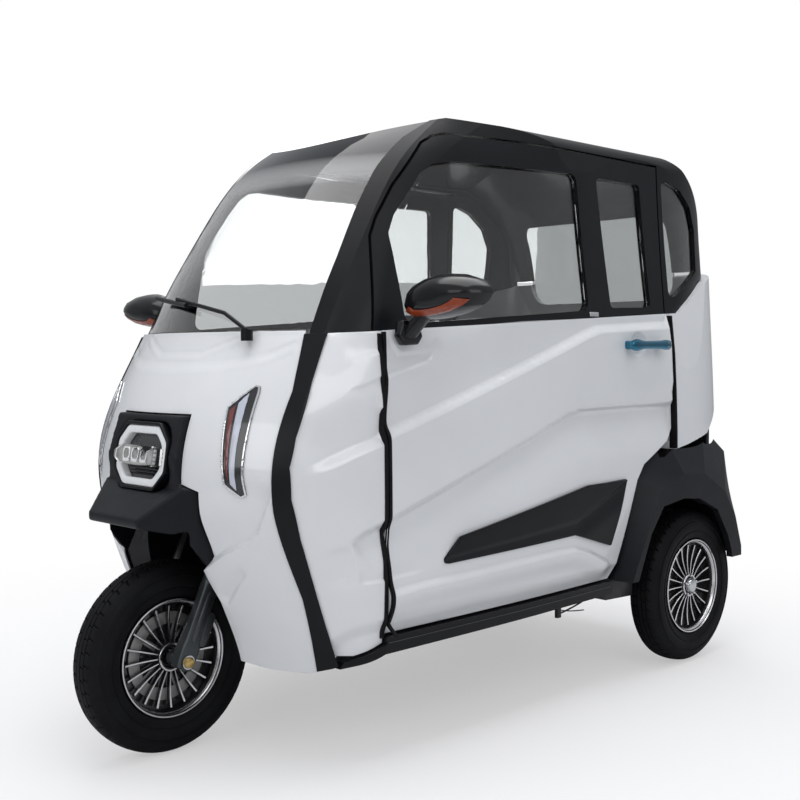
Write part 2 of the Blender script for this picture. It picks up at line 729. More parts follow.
# Finishes of the kept nodes
glassFinish("sideGlass", (0.56, 0.575, 0.575))
glassFinish("screenGlass", (0.85, 0.86, 0.86), band=(1.36, 1.44))
glassFinish("lampGlass", (0.95, 0.96, 0.97))
nodeFinishes = {
    "satinBlack": "side_frame_left side_frame_right door_frame_left door_frame_right sills wiper",
    "roofBlack": "roof_panel",
    "pearlWhite": "rear_body",
    "sideGlass": "door_glass_left door_glass_right rear_window rear_quarter_glass",
    "screenGlass": "windshield",
    "grainBlack": "wheel_arch_liner rear_fender_left rear_fender_right rear_valance",
    "framePaint": "chassis_frame floor_pan leaf_springs rear_axle handlebar",
    "dashPlastic": "dashboard seat_box",
}
for look, names in nodeFinishes.items():
    for node in names.split():
        materials = nodes[node].data.materials
        materials.clear()
        materials.append(made.get(look) or finish(look))


# Wheels
def lathe(name, profile, middle, sideways, steps, closed=True):
    # a ring turned about the wheel's axle from points given as distance out and radius
    bm = bmesh.new()
    rings = []
    for k in range(steps):
        turn = 2 * math.pi * k / steps
        rings.append([bm.verts.new((middle.x + sideways * x, middle.y + r * math.cos(turn),
                                    middle.z + r * math.sin(turn))) for x, r in profile])
    bridge(bm, rings + rings[:1], closed, False)
    bmesh.ops.remove_doubles(bm, verts=bm.verts, dist=1e-6)
    return meshFrom(bm, name)


tyreLook = {
    "pitches": 46,
    "columns": 10,
    "grooveDepth": 0.0048,
    "finDepth": 0.0014,
    "skew": 0.55,         # how far the cross grooves lean, in pitches
    "grooves": ((0.0062, 0.0082), (0.0192, 0.0212)),
    "shoulder": (0.0212, 0.0330, 0.0440),      # where the outer blocks and the fins begin and end
    "sidewallRibs": ((0.196, 0.0488), (0.166, 0.0478)),
    # across the tyre from the middle: distance out, drop below the crown
    "profile": [(0, 0), (0.0060, 0.0001), (0.0064, 0.0001), (0.0080, 0.0003), (0.0084, 0.0003), (0.0140, 0.0008),
                (0.0190, 0.0015), (0.0194, 0.0016), (0.0210, 0.0019), (0.0214, 0.0020), (0.0250, 0.0028),
                (0.0290, 0.0043), (0.0326, 0.0064), (0.0334, 0.0070), (0.0372, 0.0107), (0.0400, 0.0150),
                (0.0425, 0.0205), (0.0436, 0.0228), (0.0444, 0.0240), (0.0458, 0.0275), (0.0475, 0.0330),
                (0.0487, 0.0420), (0.0490, 0.0480), (0.0482, 0.0560), (0.0462, 0.0640), (0.0458, 0.0650),
                (0.0430, 0.0730), (0.0410, 0.0790), (0.0408, 0.0815), (0.0360, 0.0860), (0.0330, 0.0905)],
}


def treadDepth(away, column, sideways):
    # how deep the tread is cut at a distance from the middle, in one column of a pitch
    deep, columns = tyreLook["grooveDepth"], tyreLook["columns"]
    (first, second), (blocks, fins, flank) = tyreLook["grooves"], tyreLook["shoulder"]
    if first[0] < away < first[1] or second[0] < away < second[1]:
        return deep
    if blocks < away < fins and column == (0 if sideways > 0 else columns // 2):
        return deep * 0.8
    if first[1] < away < second[0] and column == columns // 3:
        return deep * 0.7
    if fins < away < flank and column % 2 == 0:
        return tyreLook["finDepth"]
    return 0.0


def makeTyre(node, body, middle, crown):
    columns = tyreLook["columns"]
    profile = tyreLook["profile"]
    row = [(-x, d, -1) for x, d in reversed(profile[1:])] + [(x, d, 1) for x, d in profile]
    rings = []
    for k in range(tyreLook["pitches"] * columns):
        ring = []
        for x, drop, sideways in row:
            lean = tyreLook["skew"] * min(abs(x) / 0.04, 1) * sideways
            turn = 2 * math.pi * (k / columns + lean) / tyreLook["pitches"]
            radius = crown - drop - treadDepth(abs(x), k % columns, sideways)
            ring.append((middle.x + x, middle.y + radius * math.cos(turn), middle.z + radius * math.sin(turn)))
        rings.append(ring)
    bm = bmesh.new()
    rings = [[bm.verts.new(p) for p in ring] for ring in rings]
    bridge(bm, rings + rings[:1], True, False)
    piece = newPiece(node + "_tread", meshFrom(bm, node + "Tread"), body, "tyreRubber", 32)
    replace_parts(piece, node)
    for sideways in (-1, 1):
        for radius, out in tyreLook["sidewallRibs"]:
            rib = lathe(f"{node}_rib_{radius * 1000:.0f}_{sideways}",
                        [(out - 0.001, radius - 0.0016), (out + 0.0008, radius - 0.0008),
                         (out + 0.0008, radius + 0.0008), (out - 0.001, radius + 0.0016)],
                        middle, sideways, 120)
            newPiece(rib.name, rib, body, "tyreRubber")


half, face, back = 0.041, 0.027, 0.006      # out from the wheel's middle: barrel's edge, spokes' face, back plate
rimLook = {
    "spokes": 20,
    "spokeWide": (0.0019, 0.0034),
    "spokeReach": (0.030, 0.1225),
    "barrel": [(-half, 0.1405), (-half, 0.1365), (-half + 0.006, 0.1335), (-0.02, 0.128), (0.02, 0.128),
               (half - 0.006, 0.1335), (half, 0.1365), (half, 0.1405), (half - 0.004, 0.1405),
               (half - 0.010, 0.1370), (-half + 0.010, 0.1370), (-half + 0.004, 0.1405)],
    # the lips are thin polished lines with a black step between them
    "rings": {
        "lip": ("cutAluminium", 120, [(half + 0.0005, 0.1412), (half + 0.0018, 0.1405), (half + 0.0018, 0.1374),
                                      (half + 0.0002, 0.1366), (half - 0.002, 0.1380), (half - 0.001, 0.1410)]),
        "lipInner": ("cutAluminium", 120, [(half - 0.0030, 0.1356), (half - 0.0020, 0.1350),
                                           (half - 0.0045, 0.1318), (half - 0.0090, 0.1302),
                                           (half - 0.0105, 0.1316), (half - 0.0080, 0.1350)]),
        "backPlate": ("rimBlack", 96, [(back, 0.0180), (back, 0.1296), (back - 0.002, 0.1296),
                                       (back - 0.002, 0.0180)]),
        "hub": ("rimBlack", 72, [(0.0, 0.040), (face - 0.004, 0.038), (face + 0.003, 0.034), (face + 0.0036, 0.027),
                                 (face - 0.002, 0.023), (face - 0.004, 0.0165), (0.0, 0.0165)]),
        "hubRing": ("cutAluminium", 72, [(face + 0.0030, 0.0345), (face + 0.0046, 0.0335), (face + 0.0048, 0.0300),
                                         (face + 0.0036, 0.0290)]),
    },
    # name, thickness, height over the face, share of the width, finish
    "spokeLayers": (("spokes", 0.010, 0.0, 1.0, "rimBlack"), ("cutFaces", 0.0007, 0.0008, 0.72, "cutAluminium")),
    "cap": [(face - 0.002, 0.0228), (face + 0.010, 0.0222), (face + 0.0155, 0.0185), (face + 0.0170, 0.0120),
            (face + 0.0175, 0.0001), (face - 0.002, 0.0001)],
    "bolt": [(face, 0.0045), (face + 0.009, 0.0045), (face + 0.0105, 0.0034), (face + 0.0105, 0.0001),
             (face, 0.0001)],
    "bolts": 5,
    "boltCircle": 0.030,
}


def spokeMesh(name, middle, sideways, thick, top, share):
    # every spoke of one face: a straight tapering bar
    bm = bmesh.new()
    inner, outer = rimLook["spokeReach"]
    for k in range(rimLook["spokes"]):
        turn = 2 * math.pi * k / rimLook["spokes"]
        outward = Vector((0, math.cos(turn), math.sin(turn)))
        across = Vector((0, -math.sin(turn), math.cos(turn)))
        deep = Vector((-sideways * thick, 0, 0))
        rows = []
        for i in range(7):
            t = i / 6
            wide = (rimLook["spokeWide"][0] * (1 - t) + rimLook["spokeWide"][1] * t) * share
            dish = top - 0.005 * math.sin(math.pi * t * 0.9)
            centre = middle + outward * (inner + (outer - inner) * t) + Vector((sideways * dish, 0, 0))
            rows.append([bm.verts.new(p) for p in (centre - across * wide * 0.8, centre + across * wide * 0.8,
                                                   centre + across * wide + deep, centre - across * wide + deep)])
        bridge(bm, rows)
    return meshFrom(bm, name)


def makeRim(node, body, middle, faces):
    barrel = lathe(node + "Barrel", rimLook["barrel"], middle, 1, 96)
    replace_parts(newPiece(node + "_barrel", barrel, body, "rimBlack"), node)
    for sideways in faces:
        parts = {}
        for part, (look, steps, profile) in rimLook["rings"].items():
            parts[part] = (lathe(node + part, profile, middle, sideways, steps), look)
        for part, thick, lift, share, look in rimLook["spokeLayers"]:
            parts[part] = (spokeMesh(node + part, middle, sideways, thick, face + lift, share), look)
        if node != "front_rim":
            parts["cap"] = (lathe(node + "Cap", rimLook["cap"], middle, sideways, 64, False), "polishedSteel")
            for k in range(rimLook["bolts"]):
                turn = 2 * math.pi * k / rimLook["bolts"] + 0.3
                place = middle + rimLook["boltCircle"] * Vector((0, math.cos(turn), math.sin(turn)))
                parts[f"bolt_{k}"] = (lathe(node + "Bolt", rimLook["bolt"], place, sideways, 6, False),
                                      "polishedSteel")
        for part, (mesh, look) in parts.items():
            newPiece(f"{node}_{part}_{sideways}", mesh, body, look)


for end, body, faces in (("front", "front_wheel", (-1, 1)), ("rear_left", "rear_wheel_left", (1,)),
                         ("rear_right", "rear_wheel_right", (-1,))):
    place, _, side = end.partition("_")
    tyre, rim = (f"{place}_{part}_{side}".rstrip("_") for part in ("tyre", "rim"))
    low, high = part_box(tyre)
    middle = (low + high) / 2
    makeTyre(tyre, body, middle, (high.z - low.z) / 2 - 0.0002)
    makeRim(rim, body, middle, faces)
print("wheels made")


# Pads that follow a skin
def skinPad(name, tree, outline, view, lift, thick, pitch=0.006, hole=None):
    # a thin pad in front of a skin; hole is an inner outline left open
    points, edges, loops = [], [], []
    for rim in (outline, hole) if hole else (outline,):
        first = len(points)
        points += evenPoints(rim + rim[:1], pitch)
        loop = list(range(first, len(points)))
        loops.append(loop)
        edges += list(zip(loop, loop[1:] + loop[:1]))
    rims = [[points[i] for i in loop] for loop in loops]
    low, high = np.array(outline).min(0), np.array(outline).max(0)
    grid = np.array([(u, v) for u in np.arange(low[0], high[0], pitch) for v in np.arange(low[1], high[1], pitch)])
    keep = insideLoop(grid, rims[0])
    if hole:
        keep &= ~insideLoop(grid, rims[1])
    rimPoints = np.array(points)
    for i, point in enumerate(grid):
        if keep[i] and np.min(np.hypot(*(rimPoints - point).T)) < pitch * 0.5:
            keep[i] = False
    points += [tuple(p) for p in grid[keep]]
    spots, _, faces, *_ = delaunay_2d_cdt([Vector(p) for p in points], edges, [loops[0]], 1, 1e-6, False)
    faces = facesWithin(spots, faces, *rims)
    verts = [inSpace(view, p.x, p.y, skinLevel(tree, view, p.x, p.y) + lift * sum(view[1])) for p in spots]
    return walled(name, view, verts, faces, thick, 1, thick * 0.35, 2)


# Turn lamps
turnFrame = [(283, 877), (292, 875), (296, 861), (301, 773), (305, 637), (295, 631), (264, 659), (257, 690),
             (235, 829)]
turnInner = [(283.5, 873.5), (290, 872), (292.8, 860), (298, 773), (302, 639), (294.5, 634.5), (266, 661.5),
             (259.5, 690.5), (238, 828)]
# outline and the opening in it, lift, thickness, pitch, slot and finish
turnLampLook = {
    "Backing": (turnFrame, None, 0.0008, 0.0022, 0.006, "lamp", "lampBlack"),
    "Frame": (turnFrame, turnInner, 0.001, 0.0042, 0.003, "lamp", "chromeTrim"),
    "Red": ([(244, 822), (254, 833), (262, 772), (273, 667), (266, 690), (253, 772)], None, 0.0026, 0.002, 0.006,
            "red_lamp", "redLens"),
    "White": ([(259, 838), (275, 860), (282, 773), (288, 647), (277, 661), (267, 773)], None, 0.0026, 0.002, 0.006,
              "lamp", "lampStrip"),
}


def metres(points):
    return [(u / 1000, v / 1000) for u, v in points]


cowlTree = shownTree(cowlShell)
for part, (rim, hole, lift, thick, pitch, slotName, look) in turnLampLook.items():
    mesh = skinPad("turn" + part, cowlTree, metres(rim), frontView, lift, thick, pitch, hole and metres(hole))
    pair = bothSides("turnLamp" + part, mesh, chassis, look)
    if part == "Backing":
        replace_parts(pair[0], "turn_lamps")
print("turn lamps made")


# Tools for small pieces
def shrunk(points, share):
    return [(u * share, v * share) for u, v in points]


def shifted(points, right, up=0.0):
    return [(u + right, v + up) for u, v in points]


def roundedBox(wide, high, corner, steps=6):
    points = []
    for k, (sx, sy) in enumerate(((1, 1), (-1, 1), (-1, -1), (1, -1))):
        for i in range(steps + 1):
            turn = math.pi / 2 * (k + i / steps)
            points.append((sx * (wide / 2 - corner) + corner * math.cos(turn),
                           sy * (high / 2 - corner) + corner * math.sin(turn)))
    return points


def axesAt(origin, right, up):
    # a place to draw in: millimetres to the right and up become metres around the origin
    right, up = Vector(right).normalized(), Vector(up)
    up = (up - right * up.dot(right)).normalized()
    turn = Matrix((right, up, right.cross(up))).transposed().to_4x4()
    return Matrix.Translation(Vector(origin)) @ turn @ Matrix.Scale(0.001, 4)


def slab(name, axes, rim, low, high, hole=None, edge=1.2, steps=2):
    # a flat outline thickened from low to high along its normal, all in millimetres
    rims = [rim, hole] if hole else [rim]
    edges, first = [], 0
    for r in rims:
        edges += [(first + i, first + (i + 1) % len(r)) for i in range(len(r))]
        first += len(r)
    spots, _, faces, *_ = delaunay_2d_cdt([Vector(p) for r in rims for p in r], edges, [], 0, 1e-6, False)
    bm = bmesh.new()
    verts = [bm.verts.new(axes @ Vector((p.x, p.y, low))) for p in spots]
    for face in facesWithin(spots, faces, *rims):
        bm.faces.new([verts[i] for i in face])
    bmesh.ops.dissolve_limit(bm, angle_limit=0.001, verts=bm.verts, edges=bm.edges)
    grown = bmesh.ops.extrude_face_region(bm, geom=list(bm.faces))
    rise = (axes @ Vector((0, 0, high))) - (axes @ Vector((0, 0, low)))
    for item in grown["geom"]:
        if isinstance(item, bmesh.types.BMVert):
            item.co += rise
    bmesh.ops.delete(bm, geom=[v for v in bm.verts if not v.link_faces], context="VERTS")
    bmesh.ops.recalc_face_normals(bm, faces=bm.faces)
    sharp = [e for e in bm.edges if len(e.link_faces) == 2 and e.calc_face_angle(0) > 0.7]
    bmesh.ops.bevel(bm, geom=sharp, offset=edge / 1000, segments=steps, profile=0.5, affect="EDGES",
                    clamp_overlap=True)
    bmesh.ops.triangulate(bm, faces=[f for f in bm.faces if len(f.verts) > 4])
    return meshFrom(bm, name, False)


def lofted(name, rings, count=28):
    # closed rings given as centre, half width vector, half height vector and squareness, capped at both ends
    rows = []
    for centre, wide, high, square in rings:
        row = []
        for k in range(count):
            c, s = math.cos(2 * math.pi * k / count), math.sin(2 * math.pi * k / count)
            u = math.copysign(abs(c) ** (2 / square), c)
            v = math.copysign(abs(s) ** (2 / square), s)
            row.append(Vector(centre) + Vector(wide) * u + Vector(high) * v)
        rows.append(row)
    return bridged(name, rows)


def tube(name, points, radius, closed=False):
    curve = bpy.data.curves.new(name, "CURVE")
    curve.dimensions = "3D"
    curve.bevel_depth = radius
    curve.bevel_resolution = 3
    curve.use_fill_caps = not closed
    line = curve.splines.new("NURBS")
    line.points.add(len(points) - 1)
    for spot, place in zip(line.points, points):
        spot.co = (*place, 1)
    line.use_cyclic_u = closed
    line.order_u = 3
    line.use_endpoint_u = not closed
    line.resolution_u = 4 if closed else 8
    carrier = bpy.data.objects.new(name, curve)
    scene.collection.objects.link(carrier)
    mesh = bpy.data.meshes.new_from_object(carrier.evaluated_get(bpy.context.evaluated_depsgraph_get()))
    bpy.data.objects.remove(carrier)
    bpy.data.curves.remove(curve)
    bm = bmesh.new()
    bm.from_mesh(mesh)
    bpy.data.meshes.remove(mesh)
    bmesh.ops.remove_doubles(bm, verts=bm.verts, dist=1e-6)
    return meshFrom(bm, name)


def joined(name, meshes):
    bm = bmesh.new()
    for mesh in meshes:
        bm.from_mesh(mesh)
    return meshFrom(bm, name, False)


# The mudguard, a rounded copy of its node
mudguardLook = {"voxel": 0.004, "passes": 7}
bm = bmesh.new()
bm.from_mesh(nodes["front_mudguard"].data)
bmesh.ops.remove_doubles(bm, verts=bm.verts, dist=1e-5)
mudguard = newPiece("front_mudguard_moulded", meshFrom(bm, "mudguard", False), "body", "grainBlack")
modifier(mudguard, "REMESH", mode="VOXEL", voxel_size=mudguardLook["voxel"])
modifier(mudguard, "SMOOTH", factor=0.5, iterations=mudguardLook["passes"])
shaded(applied(mudguard), None)
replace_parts(mudguard, "front_mudguard")
print("mudguard made")


# Headlamp
def octagon(wide, high, cut, soft=7):
    # a box with its corners cut, each new corner rounded with a few points
    corners = []
    for sx, sy in ((1, 1), (-1, 1), (-1, -1), (1, -1)):
        pair = [(sx * wide / 2, sy * (high / 2 - cut)), (sx * (wide / 2 - cut), sy * high / 2)]
        corners += pair if sx * sy > 0 else pair[::-1]
    points = []
    for i, here in enumerate(corners):
        here, before, after = Vector(here), Vector(corners[i - 1]), Vector(corners[(i + 1) % len(corners)])
        a = here + (before - here).normalized() * soft
        b = here + (after - here).normalized() * soft
        points += [tuple(a * (1 - t) ** 2 + here * 2 * t * (1 - t) + b * t * t) for t in (0, 0.25, 0.5, 0.75, 1)]
    return points


glassRim = [(-99, -8), (-78, -20), (-20, -24), (62, -24), (62, -20), (98, -20), (98, 20), (62, 20), (62, 23),
            (-62, 24), (-84, 16), (-99, 8)]
cupSize = 30
cups, louvres, ribs = (-50, -14, 22), (-27, -35, -43), (13, 3.5, -6, -15)
# each part: outlines, openings, low, high, edge, steps, finish and sharp angle
headlampLook = {
    "Housing": ([roundedBox(214, 150, 46)], [None], -34, -20, 1.2, 2, "lampBlack", 35),
    "Bezel": ([octagon(224, 160, 44)], [octagon(208, 144, 38)], -22, 7, 2.5, 3, "satinBlack", 60),
    "Ring": ([octagon(206, 142, 37, 10)], [octagon(168, 104, 26, 10)], -19, 5, 5, 4, "lampWhite", 60),
    "Window": ([octagon(168, 104, 34)], [None], -20, -14, 1.2, 2, "lampBlack", 35),
    "Bar": ([glassRim], [None], 9, 16, 2.5, 3, "lampGlass", 60),
    "BarBack": ([shrunk(glassRim, 0.97)], [None], -12, 5.5, 1.5, 2, "barSilver", 35),
    "Cups": ([shifted(octagon(cupSize, cupSize, 6, 2), u, 2) for u in cups],
             [shifted(octagon(cupSize - 8, cupSize - 8, 5, 2), u, 2) for u in cups], 5, 8.4, 0.8, 2,
             "chromeTrim", 35),
    "Lenses": ([shifted(roundedBox(cupSize - 10, cupSize - 12, 5, 3), u, 3) for u in cups], [None] * 3,
               5, 6.4, 0.6, 2, "discSteel", 35),
    "Glints": ([shifted(roundedBox(cupSize - 6, 7, 2, 3), u, -13) for u in cups], [None] * 3,
               5, 8.6, 0.8, 2, "lampWhite", 35),
    "Ribs": ([shifted(roundedBox(30, 5.5, 1.5, 3), 81, v) for v in ribs], [None] * 4, 5, 8.8, 0.8, 2,
             "lampWhite", 35),
    "Louvres": ([shifted(roundedBox(138 + v, 4, 1.6, 3), 0, v) for v in louvres], [None] * 3, -14, -6, 1, 2,
                "satinBlack", 35),
}
lamp = axesAt((0, axleY - 0.052, 0.712), (1, 0, 0), (0, 0.16, 1))
for part, (rims, holes, low, high, edge, steps, look, sharp) in headlampLook.items():
    slabs = [slab("lamp" + part, lamp, rim, low, high, hole, edge, steps) for rim, hole in zip(rims, holes)]
    piece = newPiece("headlamp" + part, joined("lamp" + part, slabs), "body", look, sharp)
    if part == "Housing":
        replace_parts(piece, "headlamp")
print("headlamp made")

# Front fork and brake disc
forkLook = {
    "base": (axleY + 0.032, axleHeight),     # where the steering axis meets the axle's height
    "rake": 25,
    "ahead": 0.029,
    "legX": 0.080,
    # run up the leg, half width, half depth, squareness
    "leg": [(-0.034, 0.012, 0.018, 5), (-0.031, 0.016, 0.021, 6), (-0.012, 0.018, 0.024, 7),
            (0.020, 0.018, 0.025, 7), (0.034, 0.015, 0.022, 6), (0.060, 0.014, 0.020, 6),
            (0.140, 0.014, 0.020, 6), (0.168, 0.017, 0.021, 4), (0.176, 0.021, 0.0215, 2),
            (0.194, 0.0215, 0.022, 2), (0.200, 0.019, 0.019, 2), (0.202, 0.016, 0.016, 2)],
    "web": [(0.034, 0.005, 0.003, 3), (0.040, 0.005, 0.008, 3), (0.150, 0.005, 0.008, 3), (0.158, 0.005, 0.003, 3)],
    "lug": [(0.030, 0.008, 0.006, 4), (0.036, 0.008, 0.013, 4), (0.104, 0.008, 0.013, 4), (0.112, 0.008, 0.006, 4)],
    "stanchion": [(0.198, 0.0148, 0.0148, 2), (0.342, 0.0148, 0.0148, 2)],
    "dustSeal": [(0.199, 0.0205, 0.0205, 2), (0.206, 0.0205, 0.0205, 2), (0.210, 0.018, 0.018, 2),
                 (0.212, 0.0155, 0.0155, 2)],
    "stem": [(0.338, 0.0158, 0.0158, 2), (0.778, 0.0158, 0.0158, 2)],
}
rakeTurn = math.radians(forkLook["rake"])
steerUp = Vector((0, math.sin(rakeTurn), math.cos(rakeTurn)))
steerAhead = Vector((0, -math.cos(rakeTurn), math.sin(rakeTurn)))
steerBase = Vector((0, *forkLook["base"]))


def onSteering(run, ahead=0.0, x=0.0):
    return steerBase + steerUp * run + steerAhead * ahead + Vector((x, 0, 0))


def steerLoft(part, ahead, x, count):
    return lofted(part, [(onSteering(run, ahead, x), (u, 0, 0), steerAhead * v, square)
                         for run, u, v, square in forkLook[part]], count)


legs, stanchions, dustSeals = [], [], []
for sideways in (-1, 1):
    ahead, x = forkLook["ahead"], sideways * forkLook["legX"]
    # a stiffening web and a lug stand on the outer face
    legs += [steerLoft("leg", ahead, x, 32), steerLoft("web", ahead, x + sideways * 0.013, 16),
             steerLoft("lug", ahead - 0.027, x + sideways * 0.006, 20)]
    stanchions.append(steerLoft("stanchion", ahead, x, 36))
    dustSeals.append(steerLoft("dustSeal", ahead, x, 32))
crown = slab("crown", axesAt(onSteering(0.318, 0.0145), (1, 0, 0), -steerAhead), roundedBox(214, 82, 24), 0, 24,
             edge=4, steps=3)
for name, mesh, slotName, look, sharp in (
        ("Legs", joined("legs", legs), "steel", "forkGrey", 40),
        ("Stanchions", joined("stanchions", stanchions), "steel", "rimBlack", 35),
        ("DustSeals", joined("dustSeals", dustSeals), "black_plastic", "rubberSeal", 35),
        ("Crown", crown, "frame_paint", "framePaint", 35),
        ("Stem", steerLoft("stem", 0, 0, 36), "steel", "forkGrey", 35)):
    piece = newPiece("fork" + name, mesh, "steering", look, sharp)
    if name == "Legs":
        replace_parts(piece, "front_fork")

nutLook = {
    "axle": ("discSteel", 32, [(0.036, 0.0085), (0.098, 0.0085), (0.098, 0.0001), (0.036, 0.0001)], False),
    "washer": ("polishedSteel", 40, [(0.1005, 0.0165), (0.1025, 0.0165), (0.1025, 0.006), (0.1005, 0.006)], True),
    "nut": ("brassNut", 6, [(0.1025, 0.0135), (0.1085, 0.0135), (0.1095, 0.0118), (0.1095, 0.0001),
                            (0.1025, 0.0001)], False),
    "spacer": ("forkGrey", 40, [(0.031, 0.0165), (0.0585, 0.0145), (0.0585, 0.0087), (0.031, 0.0087)], True),
}
for sideways in (-1, 1):
    for part, (look, steps, profile, closed) in nutLook.items():
        mesh = lathe(part, profile, Vector((0, axleY, axleHeight)), sideways, steps, closed)
        newPiece(f"front_{part}_{sideways}", mesh, "steering", look)

discLook = {"face": 0.0115, "thick": 0.004, "outer": 106, "inner": 77, "arms": 5}
disc = axesAt((discLook["face"] - discLook["thick"], axleY, axleHeight), (0, 1, 0), (0, 0, 1))
circle = [(discLook["outer"] * math.cos(math.pi * k / 36), discLook["outer"] * math.sin(math.pi * k / 36))
          for k in range(72)]
discParts = [slab("disc", disc, circle, 0, 4, shrunk(circle, discLook["inner"] / discLook["outer"]), 0.5)]
for k in range(discLook["arms"]):
    turn = 2 * math.pi * k / discLook["arms"]
    arm = [(u * math.cos(turn) - v * math.sin(turn), u * math.sin(turn) + v * math.cos(turn))
           for u, v in ((32, -8), (79, -6), (79, 6), (32, 8))]
    discParts.append(slab("arm", disc, arm, 0.4, 3.6, edge=0.4))
frontDisc = newPiece("frontDisc", joined("frontDisc", discParts), "front_wheel", "discSteel")
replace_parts(frontDisc, "brake_disc")
print("fork made")

# Handlebar fittings
barLook = {
    "grip": (0.300, -0.338, 0.990),
    "run": (-0.150, -0.066, -0.004),
    "length": 0.115,
    "radius": 0.0182,
    "rings": 46,
    "pod": ((0.118, 0.016), (0.122, 0.022), (0.158, 0.022), (0.163, 0.016)),      # run and radius
    # run along the grip, then how far ahead and below it
    "lever": ((0.142, 0, 0), (0.13, -0.028, -0.004), (0.06, -0.046, -0.012), (0.005, -0.040, -0.016)),
}
grips, levers, pods = [], [], []
for sideways in (-1, 1):
    start = Vector((sideways * barLook["grip"][0], *barLook["grip"][1:]))
    run = Vector((sideways * barLook["run"][0], *barLook["run"][1:])).normalized()
    wide = run.cross(Vector((0, 0, 1))).normalized()
    up = wide.cross(run)
    rings = []
    for k in range(barLook["rings"] + 1):
        t = k / barLook["rings"]
        r = barLook["radius"] + (0.0012 if k % 2 else 0) + (0.004 if t > 0.95 else 0) - (0.003 if t < 0.03 else 0)
        rings.append((start + run * (barLook["length"] * t), wide * r, up * r, 2))
    grips.append(lofted("grip", rings, 24))
    pods.append(lofted("pod", [(start + run * d, wide * r, up * r * 0.9, 3) for d, r in barLook["pod"]], 24))
    levers.append(tube("lever", [start + run * d + Vector((0, y, z)) for d, y, z in barLook["lever"]], 0.0045))
display = axesAt((0, -0.424, 0.968), (1, 0, 0), (0, -0.80, 0.45))
for name, mesh, slotName, look, sharp in (
        ("handlebarGrips", joined("grips", grips), "black_plastic", "rubberSeal", 60),
        ("handlebarPods", joined("pods", pods), "black_plastic", "dashPlastic", 35),
        ("handlebarLevers", joined("levers", levers), "steel", "polishedSteel", 35),
        ("displayPod", slab("displayPod", display, roundedBox(128, 66, 20), -12, 12, edge=5, steps=3),
         "black_plastic", "dashPlastic", 35),
        ("displayGlass", slab("displayGlass", display, roundedBox(108, 48, 12), 11.5, 13, edge=0.6),
         "black_plastic", "lampBlack", 35)):
    newPiece(name, mesh, "steering", look, sharp)
print("handlebar fittings made")

# Seats
padLook = {
    "driverCushion": {"node": "driver_seat", "size": (0.430, 0.404, 0.082), "middle": (0, 0.030, 0.5125),
                      "up": (0, 0, 1), "deep": (0, 1, 0), "square": 5, "cap": 0.010, "voxel": 0.008,
                      "channels": (-0.105, -0.035, 0.035, 0.105), "fill": 0.8, "flat": True},
    "driverBack": {"node": "driver_seat", "size": (0.408, 0.440, 0.060), "middle": (0, 0.254, 0.785),
                   "up": (0, -0.986, 0.165), "deep": (0, 0.165, 0.986), "square": 4.5, "cap": 0.009, "voxel": 0.008,
                   "channels": (-0.13, -0.065, 0.0, 0.065, 0.13), "fill": 0.75, "flat": False},
    "benchCushion": {"node": "rear_bench", "size": (0.774, 0.384, 0.090), "middle": (0, 0.580, 0.5485),
                     "up": (0, 0, 1), "deep": (0, 1, 0), "square": 6, "cap": 0.010, "voxel": 0.010,
                     "channels": (-0.10, -0.033, 0.033, 0.10), "fill": 0.8, "flat": True},
    "benchBack": {"node": "rear_bench", "size": (0.744, 0.446, 0.054), "middle": (0, 0.838, 0.735),
                  "up": (0, -0.994, 0.110), "deep": (0, 0.110, 0.994), "square": 5.5, "cap": 0.008, "voxel": 0.010,
                  "channels": (-0.13, -0.045, 0.045, 0.13), "fill": 0.75, "flat": False},
}
padRings = ((-0.5, 0.93), (-0.44, 0.975), (-0.30, 0.995), (0.10, 0.99), (0.28, 0.965), (0.40, 0.92), (0.46, 0.86))
clothLook = {"pressure": 4.0, "frames": 20, "stiffness": 18, "bending": 1.0}
seamLook = {"channel": (0.0045, 0.0042), "rim": (0.0035, 0.0045), "inset": 0.045}      # depth and width


def puffed(piece):
    # the pad blown up a little under its cover
    cloth = modifier(piece, "CLOTH")
    for key, value in {"quality": 4, "mass": 0.3, "tension_stiffness": clothLook["stiffness"],
                       "compression_stiffness": clothLook["stiffness"],
                       "shear_stiffness": clothLook["stiffness"] / 2, "bending_stiffness": clothLook["bending"],
                       "use_pressure": True, "uniform_pressure_force": clothLook["pressure"]}.items():
        setattr(cloth.settings, key, value)
    cloth.settings.effector_weights.gravity = 0
    cloth.point_cache.frame_start = 1
    cloth.point_cache.frame_end = clothLook["frames"]
    for frameNumber in range(1, clothLook["frames"] + 1):
        scene.frame_set(frameNumber)
    applied(piece)
    scene.frame_set(1)


